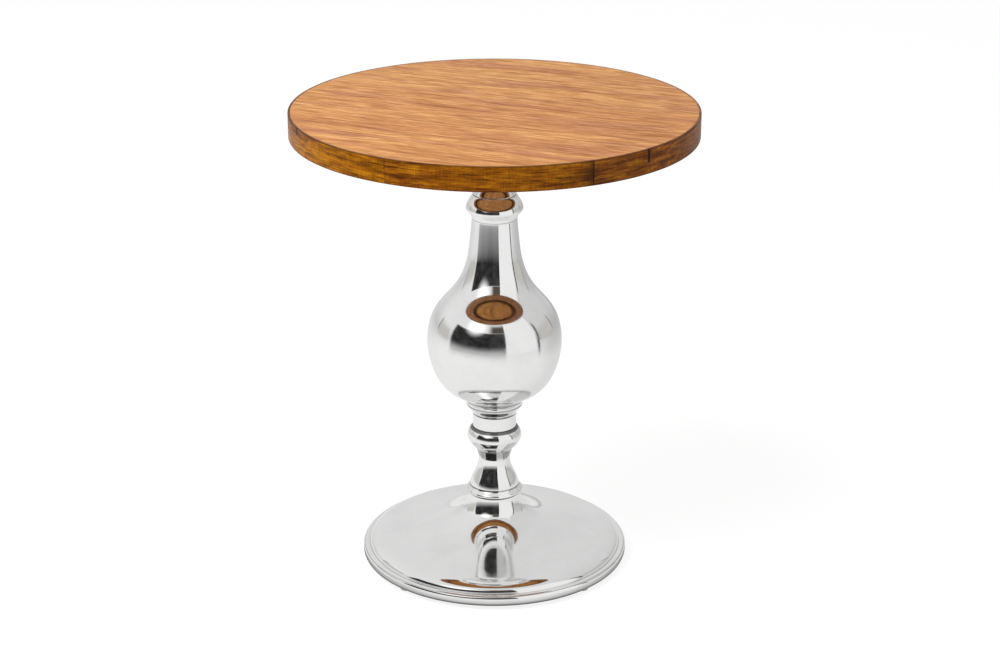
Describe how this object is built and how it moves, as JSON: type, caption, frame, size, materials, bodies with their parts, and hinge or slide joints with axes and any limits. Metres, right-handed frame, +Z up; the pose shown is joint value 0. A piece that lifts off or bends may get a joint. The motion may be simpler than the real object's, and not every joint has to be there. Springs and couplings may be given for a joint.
{
  "type": "round pedestal side table",
  "caption": "Round side table: edge-banded board top screwed to a flange on a turned, mirror-polished aluminium baluster pedestal with a round moulded dish base, clamped by a central tie rod.",
  "frame": {"origin": "on the floor plane, under the pedestal's axis", "axes": "+Z up along the pedestal's axis; -Y faces the viewer of the picture, +X to that viewer's right"},
  "size_m": [0.5, 0.4999, 0.593],
  "materials": {
    "board_wood": "semi-gloss lacquer on warm tan boards",
    "band_wood": "semi-gloss lacquer on golden brown edge strips",
    "rim_wood": "sealed, unpolished",
    "polished_aluminium": "mirror polished",
    "zinc_steel": "zinc plated",
    "pale_felt": "felt"
  },
  "bodies": {
    "root": {"top_board_1": "board_wood", "top_board_2": "board_wood", "top_board_3": "board_wood", "top_board_4": "board_wood", "top_board_5": "board_wood", "top_board_6": "board_wood", "edge_band_1": "band_wood", "edge_band_2": "band_wood", "edge_band_3": "band_wood", "edge_band_4": "band_wood", "edge_band_5": "band_wood", "edge_band_6": "band_wood", "rim_segment_1": "rim_wood", "rim_segment_2": "rim_wood", "rim_segment_3": "rim_wood", "rim_segment_4": "rim_wood", "rim_segment_5": "rim_wood", "rim_segment_6": "rim_wood", "top_flange": "polished_aluminium", "bulb_column": "polished_aluminium", "lower_stem": "polished_aluminium", "base_dish": "polished_aluminium", "tie_rod": "zinc_steel", "rod_washer": "zinc_steel", "rod_nut": "zinc_steel", "flange_screw_1": "zinc_steel", "flange_screw_2": "zinc_steel", "flange_screw_3": "zinc_steel", "flange_screw_4": "zinc_steel", "flange_screw_5": "zinc_steel", "flange_screw_6": "zinc_steel", "felt_pad_1": "pale_felt", "felt_pad_2": "pale_felt", "felt_pad_3": "pale_felt", "felt_pad_4": "pale_felt"}
  },
  "joints": []
}
